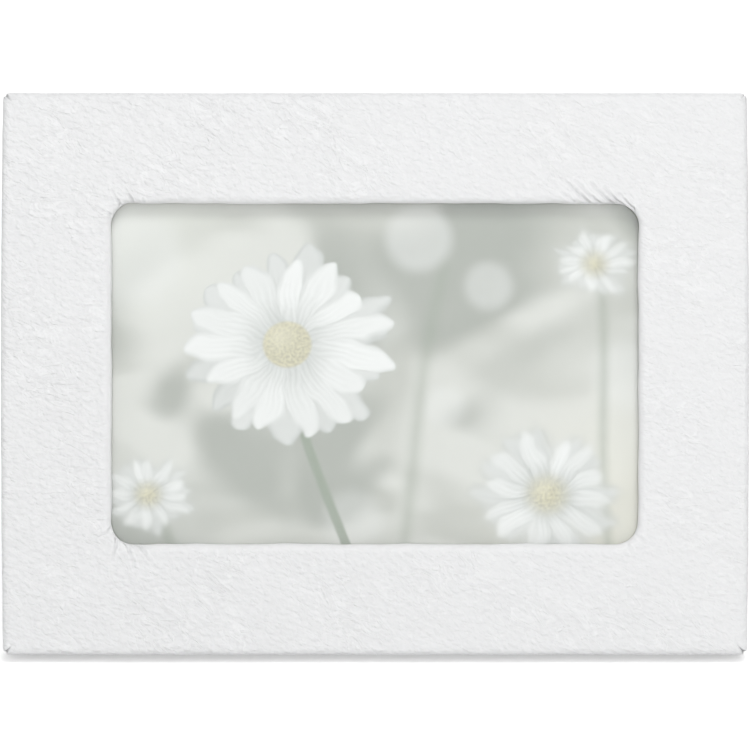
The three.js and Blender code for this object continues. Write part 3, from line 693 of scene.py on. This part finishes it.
def makePrint():
    material, tree, shader = newMaterial("photoPrint", **{"Roughness": 0.35, "Specular IOR Level": 0.4})
    petalRing = makePetalRing()
    picture = printPicture
    point = addNode(tree, "ShaderNodeTexCoord").outputs["Object"]
    point = vectors(tree, "SUBTRACT", point, tuple(centre))
    flatX = vectors(tree, "DOT_PRODUCT", point, tuple(across * 1000))
    flatZ = vectors(tree, "DOT_PRODUCT", point, tuple(upward * 1000))
    flat = addNode(tree, "ShaderNodeCombineXYZ", {0: flatX, 1: flatZ}).outputs[0]

    def away(x, z, wide=1.0):
        apart = vectors(tree, "SUBTRACT", flat, (x, z, 0))
        return vectors(tree, "LENGTH", vectors(tree, "MULTIPLY", apart, (wide, 1, 0)))

    wide = vectors(tree, "MULTIPLY", flat, (0.7, 1.2, 1.0))
    haze = flatNoise(tree, wide, 0.03, detail=1.0, distortion=0.6)
    colour = mixed(tree, smooth(tree, haze, 0.36, 0.62), picture["field"], picture["fieldLight"])
    dark = flatNoise(tree, vectors(tree, "ADD", flat, (300, 40, 0)), 0.026, detail=1.0, distortion=0.4)
    colour = mixed(tree, smooth(tree, dark, 0.48, 0.68, 0.0, 0.9), colour, picture["fieldDark"])
    for x, z, reach, light, glow in picture["glows"]:
        colour = mixed(tree, smooth(tree, away(x, z), 5.0, reach, light, 0.0), colour, glow)
    for x, z, radius, blur, light in picture["discs"]:
        mask = smooth(tree, away(x, z), radius - blur, radius + blur, light, 0.0)
        colour = mixed(tree, mask, colour, picture["petal"])
    for topX, topZ, endX, endZ, half, blur, share in picture["stems"]:
        along = Vector((endX - topX, endZ - topZ, 0))
        side = Vector((-along.y, along.x, 0)).normalized()
        bend = maths(tree, "SINE", maths(tree, "MULTIPLY_ADD", flatZ, 0.05, topX))
        bend = maths(tree, "MULTIPLY", bend, 1.6)
        offset = vectors(tree, "DOT_PRODUCT", vectors(tree, "SUBTRACT", flat, (topX, topZ, 0)), tuple(side))
        offset = maths(tree, "ABSOLUTE", maths(tree, "ADD", offset, bend))
        below = smooth(tree, flatZ, topZ - 4, topZ + 4, 1.0, 0.0)
        stem = maths(tree, "MULTIPLY", smooth(tree, offset, half - blur, half + blur, share, 0.0), below)
        colour = mixed(tree, stem, colour, picture["stemColour"])
    for x, z, radius, petals, turn, blur, squash in picture["flowers"]:
        for scale, twist, shaded in ((1.0, math.pi / petals, 0.35), (0.95, 0.0, 0.0)):
            made = useGroup(tree, petalRing, {
                "Point": flat,
                "Middle": (x, z, 0),
                "Radius": radius * scale,
                "Petals": petals,
                "Width": radius * picture["petalWidth"],
                "Turn": turn + twist,
                "Blur": blur,
                "Squash": squash,
            })
            shade = maths(tree, "ADD", made["Shade"], shaded, clamp=True)
            petal = mixed(tree, shade, picture["petal"], picture["petalShade"])
            colour = mixed(tree, made["Mask"], colour, petal)
        heart = radius * picture["heartShare"]
        stipple = flatNoise(tree, flat, 1.4, detail=2.0)
        dots = smooth(tree, stipple, 0.35, 0.65, 0.0, 0.8)
        ground = mixed(tree, dots, picture["heart"], picture["heartDark"])
        glow = smooth(tree, away(x - heart * 0.3, z + heart * 0.35), 0.0, heart, 0.45, 0.0)
        ground = mixed(tree, glow, ground, picture["heartGlow"])
        mask = smooth(tree, away(x, z, 0.95), heart - blur, heart + blur, 0.85, 0.0)
        colour = mixed(tree, mask, colour, ground)
    tree.links.new(colour, shader.inputs["Base Color"])
    return material


materials = {
    "leather": makeLeather(),
    "suede": makeSuede(),
    "fibreboard": makeBoard(),
    "card": makeCard(),
    "nickel": makeNickel(),
    "ribbon": makeRibbon(),
    "glass": makeGlass(),
    "print": makePrint(),
}
slotOf = {entry["node"]: entry["material_slot"] for entry in frame["record"]["subparts"]}
bodyOf = {
    node: body
    for body, nodes in frame["record"]["behaviour"]["bodies"].items()
    for node in nodes
}
for name, node in frame["nodes"].items():
    if not node.material_slots:
        node.data.materials.append(None)
    node.material_slots[0].material = materials[slotOf[name]]
print("materials made")


# The leather: a flat sheet wrapped round the frame as one closed loop of rows.
# A row runs once round the window, and the rows run from the turn-in behind the lip,
# over the lip, the front and the side, to the turn-in on the back and home inside.

wrap = {
    "cornerSteps": 28,
    "longSteps": 196,
    "shortSteps": 126,
    "outerRadius": 2.0,
    "leastRadius": 0.4,
    "bow": 0.6,
    "turnIn": -9.5,
    "thickness": 1.0,
    "heel": 1.3,
    "roll": 2.2,
    "frontEdge": 1.8,
    "backEdge": 1.3,
    "ledge": 4.6,
    "backTurnIn": 14.0,
    "seed": 11,
    "hillWaves": 14,
    "hills": (0.11, 17.0),  # height and length of the soft undulation
    "ripples": (0.05, 7.0),
    "calmBehind": 0.6,
    "edgeShare": 0.35,
    "creasePress": 0.35,
    "tuckWidth": 0.11,  # as a share of the corner's quarter turn
    "foldWidth": 0.12,
    "foldPress": 0.25,
    "deepest": -0.85,
    "highest": 0.32,
    "highestBehind": 0.1,
}

# How far the fold is tucked in at each outer corner: right top, left top, left bottom, right bottom
tucks = [0.2, 0.35, 0.4, 0.55]


def stations():
    # the angle of each station's normal, its corner and its share of the side after it
    listed = []
    for corner in range(4):
        for step in range(wrap["cornerSteps"] + 1):
            share = step / wrap["cornerSteps"]
            listed.append((corner, share, -1.0))
        steps = wrap["longSteps"] if corner % 2 == 0 else wrap["shortSteps"]
        listed += [(corner, 1.0, step / steps) for step in range(1, steps)]
    return np.array(listed)


def ringOf(halfX, halfZ, radius, bow):
    # points of one rounded rectangle at all stations, with its outward normals
    corner, share, along = stationList.T
    signs = np.array([(1, 1), (-1, 1), (-1, -1), (1, -1)], float)
    middle = signs * (halfX - radius, halfZ - radius)
    here = corner.astype(int)
    angle = (corner + share) * math.pi / 2
    normal = np.stack([np.cos(angle), np.sin(angle)], 1)
    point = middle[here] + radius * normal
    following = middle[(here + 1) % 4] + radius * normal
    blend = np.clip(along, 0, 1)[:, None]
    point = point * (1 - blend) + following * blend
    point[:, 0] *= 1 - (bow / halfX) * (point[:, 1] / halfZ) ** 2
    return point, normal


def windowRing(offset):
    halfX, halfZ = size["windowHalfX"] + offset, size["windowHalfZ"] + offset
    return ringOf(halfX, halfZ, size["windowRadius"] + offset, 0.0)


def outerRing(inset):
    radius = max(wrap["outerRadius"] - inset, wrap["leastRadius"])
    return ringOf(size["outerHalfX"] - inset, size["outerHalfZ"] - inset, radius, wrap["bow"])


def softHills(u, v, wavelength, seed):
    # gentle hills of about unit height, from a few seeded waves
    random = np.random.default_rng(seed)
    total = np.zeros_like(u)
    for _ in range(wrap["hillWaves"]):
        angle = random.uniform(0, 2 * math.pi)
        length = wavelength * random.uniform(0.7, 1.6)
        along = u * math.cos(angle) + v * math.sin(angle)
        total += np.sin(along * 2 * math.pi / length + random.uniform(0, 7))
    return total / wrap["hillWaves"] ** 0.5


def sheetRows():
    # each row: its kind, how far out or in it lies, its depth, its normal as (outwards, into
    # the back), and its travel over the sheet from the front
    rows = []
    depth, roll, heel = wrap["turnIn"], wrap["roll"], wrap["heel"]
    front, frontEdge, backEdge = size["front"], wrap["frontEdge"], wrap["backEdge"]
    rollTravel = roll * math.pi / 2
    lipTravel = rollTravel + (depth - heel) - (front + roll)
    heelTravel = lipTravel + heel * math.pi / 2
    for offset in np.linspace(wrap["ledge"], heel, 6)[:-1]:
        rows.append(("window", offset, depth, (0, 1), -(heelTravel + offset - heel)))
    for angle in np.linspace(0, math.pi / 2, 5):
        sine, cosine = math.sin(angle), math.cos(angle)
        travel = lipTravel + heel * (math.pi / 2 - angle)
        rows.append(("window", heel - heel * sine, depth - heel + heel * cosine, (-sine, cosine), -travel))
    for angle in np.linspace(0, math.pi / 2, 11):
        sine, cosine = math.sin(angle), math.cos(angle)
        travel = roll * (math.pi / 2 - angle)
        rows.append(("window", roll - roll * cosine, front + roll - roll * sine, (-cosine, -sine), -travel))
    for share in np.linspace(0, 1, 44)[1:-1]:
        rows.append(("front", share, front, (0, -1), 0.0))
    for angle in np.linspace(0, math.pi / 2, 8):
        sine, cosine = math.sin(angle), math.cos(angle)
        inset, at = frontEdge * (1 - sine), front + frontEdge * (1 - cosine)
        rows.append(("outer", inset, at, (sine, -cosine), frontEdge * angle))
    edgeTravel = frontEdge * math.pi / 2
    sideLength = -backEdge - (front + frontEdge)
    for share in np.linspace(0, 1, 15)[1:-1]:
        down = share * sideLength
        rows.append(("outer", 0.0, front + frontEdge + down, (1, 0), edgeTravel + down))
    for angle in np.linspace(0, math.pi / 2, 6):
        sine, cosine = math.sin(angle), math.cos(angle)
        travel = edgeTravel + sideLength + backEdge * angle
        rows.append(("outer", backEdge * (1 - cosine), -backEdge * (1 - sine), (cosine, sine), travel))
    backTravel = edgeTravel + sideLength + backEdge * math.pi / 2
    for inset in np.linspace(backEdge, wrap["backTurnIn"], 17)[1:]:
        rows.append(("outer", inset, 0.0, (0, 1), backTravel + inset - backEdge))
    thick = wrap["thickness"]
    insideOuter = [
        (wrap["backTurnIn"], -thick),
        (thick, -thick),
        (thick, front + frontEdge),
        (frontEdge, front + thick),
    ]
    for inset, at in insideOuter:
        rows.append(("inside outer", inset, at, (0, 0), 0.0))
    insideWindow = [
        (roll, front + thick),
        (thick, front + roll),
        (thick, depth - thick),
        (wrap["ledge"], depth - thick),
    ]
    for offset, at in insideWindow:
        rows.append(("inside window", offset, at, (0, 0), 0.0))
    return rows


def wrapLeather():
    rows = sheetRows()
    count = len(stationList)
    frontStart, startNormal = windowRing(wrap["roll"])
    frontEnd, endNormal = outerRing(wrap["frontEdge"])
    grid = np.zeros((len(rows), count, 3))  # x, depth, z in millimetres
    flat = np.zeros((len(rows), count, 2))  # where the point lies on the hide
    facing = np.zeros((len(rows), count, 3))
    for index, (kind, amount, depth, normal, travel) in enumerate(rows):
        if kind == "front":
            point = frontStart * (1 - amount) + frontEnd * amount
            outwards = startNormal
            flat[index] = point
        elif "window" in kind:
            point, outwards = windowRing(amount)
            flat[index] = frontStart + startNormal * travel
        else:
            point, outwards = outerRing(amount)
            flat[index] = frontEnd + endNormal * travel
        grid[index, :, 0] = point[:, 0]
        grid[index, :, 1] = depth
        grid[index, :, 2] = point[:, 1]
        facing[index, :, 0] = outwards[:, 0] * normal[0]
        facing[index, :, 1] = normal[1]
        facing[index, :, 2] = outwards[:, 1] * normal[0]
    seen = np.array([not row[0].startswith("inside") for row in rows], float)[:, None]
    behind = np.array([row[2] >= -0.01 for row in rows], float)[:, None]
    u, v = flat[..., 0], flat[..., 1]
    hillHeight, hillLength = wrap["hills"]
    rippleHeight, rippleLength = wrap["ripples"]
    lift = hillHeight * softHills(u, v, hillLength, wrap["seed"])
    lift = lift + rippleHeight * softHills(u, v, rippleLength, wrap["seed"] + 1)
    lift *= 1 - wrap["calmBehind"] * behind
    lift *= np.array([wrap["edgeShare"] if row[0] == "outer" else 1.0 for row in rows])[:, None]
    for signX, signZ, start, end, deep, half in creases:
        corner = np.array([signX * size["windowHalfX"], signZ * size["windowHalfZ"]])
        first, second = corner + start, corner + end
        span = second - first
        away = np.stack([u - first[0], v - first[1]], -1)
        share = np.clip((away @ span) / (span @ span), 0, 1)
        distance = np.linalg.norm(away - share[..., None] * span, axis=-1)
        press = np.exp(-(distance / half) ** 2) - 0.45 * np.exp(-((distance - 2.1 * half) / half) ** 2)
        lift -= wrap["creasePress"] * deep * (1 - 0.7 * share) * press
    corner, share, along = stationList.T

    def atCorner(width):
        # 1 on the middle of each corner's turn, and 0 along the sides
        return np.where(along < 0, np.exp(-((share - 0.5) / width) ** 2), 0.0)

    rim = np.array([1.0 if row[0] == "outer" and row[2] < -0.5 else 0.0 for row in rows])[:, None]
    lift -= rim * (atCorner(wrap["tuckWidth"]) * np.array(tucks)[corner.astype(int)])[None, :]
    # a mitred fold runs in over the back from each outer corner
    lift -= wrap["foldPress"] * (behind * atCorner(wrap["foldWidth"])[None, :])
    lift = np.clip(lift, wrap["deepest"], wrap["highest"]) * seen
    lift = np.where(behind > 0, np.minimum(lift, wrap["highestBehind"]), lift)
    grid += facing * lift[..., None]
    return grid, flat


stationList = stations()
grid, flat = wrapLeather()
rowCount, stationCount = grid.shape[:2]
# the sheet closes on itself both ways, so its first row and station come again
loopGrid = np.pad(grid, ((0, 1), (0, 1), (0, 0)), mode="wrap")
loopFlat = np.pad(flat, ((0, 1), (0, 1), (0, 0)), mode="wrap")
bpy.ops.mesh.primitive_grid_add(x_subdivisions=stationCount, y_subdivisions=rowCount, size=1)
leatherCover = bpy.context.object
leatherCover.name = "leatherCover"
mesh = leatherCover.data
pointCount = (rowCount + 1) * (stationCount + 1)
if len(mesh.vertices) != pointCount:
    raise SystemExit(f"grid has {len(mesh.vertices)} points, not {pointCount}")
leaningPoints = loopGrid.reshape(-1, 3) * mm
axes = np.array([across, inward, upward])
standing = np.array(centre) + leaningPoints @ axes
mesh.vertices.foreach_set("co", standing.astype(np.float32).ravel())
uvLayer = mesh.uv_layers.active
uvLayer.name = "sheet"
corners = np.zeros(len(mesh.loops), np.int32)
mesh.loops.foreach_get("vertex_index", corners)
uvLayer.data.foreach_set("uv", (loopFlat.reshape(-1, 2)[corners] * mm).astype(np.float32).ravel())
leatherCover.location = (0, 0, 0)
editAll(
    leatherCover,
    lambda: bpy.ops.mesh.remove_doubles(threshold=0.002 * mm),
    lambda: bpy.ops.mesh.normals_make_consistent(inside=False),
)
only(leatherCover)
bpy.ops.object.shade_smooth()
mesh.materials.append(materials["leather"])
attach(leatherCover, "frame")
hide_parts("leather_cover")
print("leather wrapped:", len(mesh.polygons), "faces")


# Rounded copies of the rigid pieces that show

rounded = {
    # edge radius in millimetres of each piece
    "hinge_upper_leaf": 0.12,
    "hinge_lower_leaf": 0.12,
    "hinge_pin": 0.2,
    "leg_cover": 0.22,
    "leg_liner": 0.12,
    "backing_cover": 0.16,
    "rear_lining": 0.16,
    "stay_rivet_upper": 0.12,
    "stay_rivet_lower": 0.12,
}
for number in range(1, 5):
    rounded[f"turn_button_{number}"] = 0.22
    rounded[f"turn_button_screw_{number}"] = 0.14
for side in ("upper", "lower"):
    for number in (1, 2):
        rounded[f"hinge_rivet_{side}_{number}"] = 0.14


def roundedCopy(node, width):
    first, *others = node.split("_")
    name = first + "".join(word.title() for word in others)
    piece = bpy.data.objects.new(name, frame["nodes"][node].data.copy())
    bpy.context.scene.collection.objects.link(piece)
    editAll(
        piece,
        lambda: bpy.ops.mesh.remove_doubles(threshold=0.005 * mm),
        lambda: bpy.ops.mesh.dissolve_limited(angle_limit=math.radians(1)),
    )
    applied(
        piece, "BEVEL", width=width * mm, segments=3, limit_method="ANGLE",
        angle_limit=math.radians(35), use_clamp_overlap=True,
    )
    only(piece)
    bpy.ops.object.shade_smooth_by_angle(angle=math.radians(30))
    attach(piece, bodyOf[node])
    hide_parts(node)


for node, width in rounded.items():
    roundedCopy(node, width)
print("rigid pieces rounded")


# Ribbon from the backing to the leg

ribbon = {
    "width": 10.0,
    "thickness": 0.35,
    "pinDepth": 3.0,
    "pinUp": 31.4,
    "opening": math.radians(27),
    "backDepth": 0.2,
    "backDrop": 48.0,
    "legDepth": -2.2,
    "legDrop": 62.0,
    "tab": 9.0,
    "sag": 1.2,
    "steps": 40,
    "acrossSteps": 12,
    "edge": 0.1,
}


def onLeg(depth, drop):
    sine, cosine = math.sin(ribbon["opening"]), math.cos(ribbon["opening"])
    return (
        ribbon["pinDepth"] + depth * cosine - drop * sine,
        ribbon["pinUp"] + depth * sine + drop * cosine,
    )


ribbonPath = [
    (ribbon["backDepth"], ribbon["pinUp"] - ribbon["backDrop"] + ribbon["tab"]),
    (ribbon["backDepth"], ribbon["pinUp"] - ribbon["backDrop"]),
    onLeg(ribbon["legDepth"], -ribbon["legDrop"]),
    onLeg(ribbon["legDepth"], -ribbon["legDrop"] - ribbon["tab"]),
]
bpy.ops.mesh.primitive_grid_add(
    x_subdivisions=ribbon["acrossSteps"], y_subdivisions=ribbon["steps"], size=1
)
stayRibbon = bpy.context.object
stayRibbon.name = "stayRibbon"
lengths = [math.dist(a, b) for a, b in zip(ribbonPath, ribbonPath[1:])]
ribbonLength = sum(lengths)
ribbonUv = stayRibbon.data.uv_layers.active
ribbonUv.name = "sheet"
positions = {}
for vertex in stayRibbon.data.vertices:
    travel = (vertex.co.y + 0.5) * ribbonLength
    sideways = vertex.co.x * ribbon["width"]
    positions[vertex.index] = (sideways, travel)
    # run 0 is the tab on the backing, 1 the free span and 2 the tab on the leg
    run = 0
    rest = travel
    while run < 2 and rest > lengths[run]:
        rest -= lengths[run]
        run += 1
    share = rest / lengths[run]
    (depthA, zA), (depthB, zB) = ribbonPath[run], ribbonPath[run + 1]
    sag = ribbon["sag"] * math.sin(math.pi * share) if run == 1 else 0.0
    vertex.co = place(sideways, depthA + (depthB - depthA) * share, zA + (zB - zA) * share - sag)
for loop in stayRibbon.data.loops:
    sideways, travel = positions[loop.vertex_index]
    ribbonUv.data[loop.index].uv = (sideways * mm, travel * mm)
stayRibbon.location = (0, 0, 0)
applied(stayRibbon, "SOLIDIFY", thickness=ribbon["thickness"] * mm, offset=0.0)
applied(stayRibbon, "BEVEL", width=ribbon["edge"] * mm, segments=2, limit_method="ANGLE")
only(stayRibbon)
bpy.ops.object.shade_smooth_by_angle(angle=math.radians(40))
stayRibbon.data.materials.append(materials["ribbon"])
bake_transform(stayRibbon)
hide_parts("stay_ribbon")
print("ribbon laid")


# Floor and light

studio = {
    "floorSize": 12.0,
    "floorColour": (0.9, 0.9, 0.9, 1),
    "floorGlow": 0.42,
    "worldLight": 0.42,
    "lamps": [
        # name, place, width, height, watts
        ("keyLamp", (0.12, -1.15, 1.45), 0.5, 0.5, 10.5),
        ("frontLamp", (0.1, -1.9, 0.8), 1.3, 1.1, 7.5),
        ("backLamp", (0.4, 1.5, 1.2), 1.4, 1.0, 10.0),
    ],
}


def seenDirectly(tree):
    # 1 for the camera and for what metal and glass show of the background
    path = addNode(tree, "ShaderNodeLightPath").outputs
    seen = maths(tree, "MAXIMUM", path["Is Camera Ray"], path["Is Glossy Ray"])
    return maths(tree, "MAXIMUM", seen, path["Is Transmission Ray"])


bpy.ops.mesh.primitive_plane_add(size=studio["floorSize"])
floor = bpy.context.object
floor.name = "floor"
floorMaterial, floorTree, floorShader = newMaterial(
    "paleFloor", **{"Base Color": studio["floorColour"], "Roughness": 0.9, "Specular IOR Level": 0.1}
)
floorShader.inputs["Emission Color"].default_value = (1, 1, 1, 1)
floorGlow = maths(floorTree, "MULTIPLY", seenDirectly(floorTree), studio["floorGlow"])
floorTree.links.new(floorGlow, floorShader.inputs["Emission Strength"])
floor.data.materials.append(floorMaterial)

worldLight = bpy.data.worlds.new("studio")
bpy.context.scene.world = worldLight
worldLight.use_nodes = True
worldTree = worldLight.node_tree
background = worldTree.nodes["Background"]
background.inputs["Color"].default_value = (1, 1, 1, 1)
# the background shows as plain white, and lights the object less than it shows
dim = studio["worldLight"]
worldStrength = maths(worldTree, "MULTIPLY_ADD", seenDirectly(worldTree), 1.0 - dim, dim)
worldTree.links.new(worldStrength, background.inputs["Strength"])

for name, spot, width, height, watts in studio["lamps"]:
    lamp = bpy.data.objects.new(name, bpy.data.lights.new(name, "AREA"))
    lamp.data.shape = "RECTANGLE"
    lamp.data.size = width
    lamp.data.size_y = height
    lamp.data.energy = watts
    lamp.location = spot
    lamp.rotation_euler = (place(0, 0, 0) - Vector(spot)).to_track_quat("-Z", "Y").to_euler()
    bpy.context.scene.collection.objects.link(lamp)
bpy.context.scene.view_settings.view_transform = "Standard"
print("studio lit")
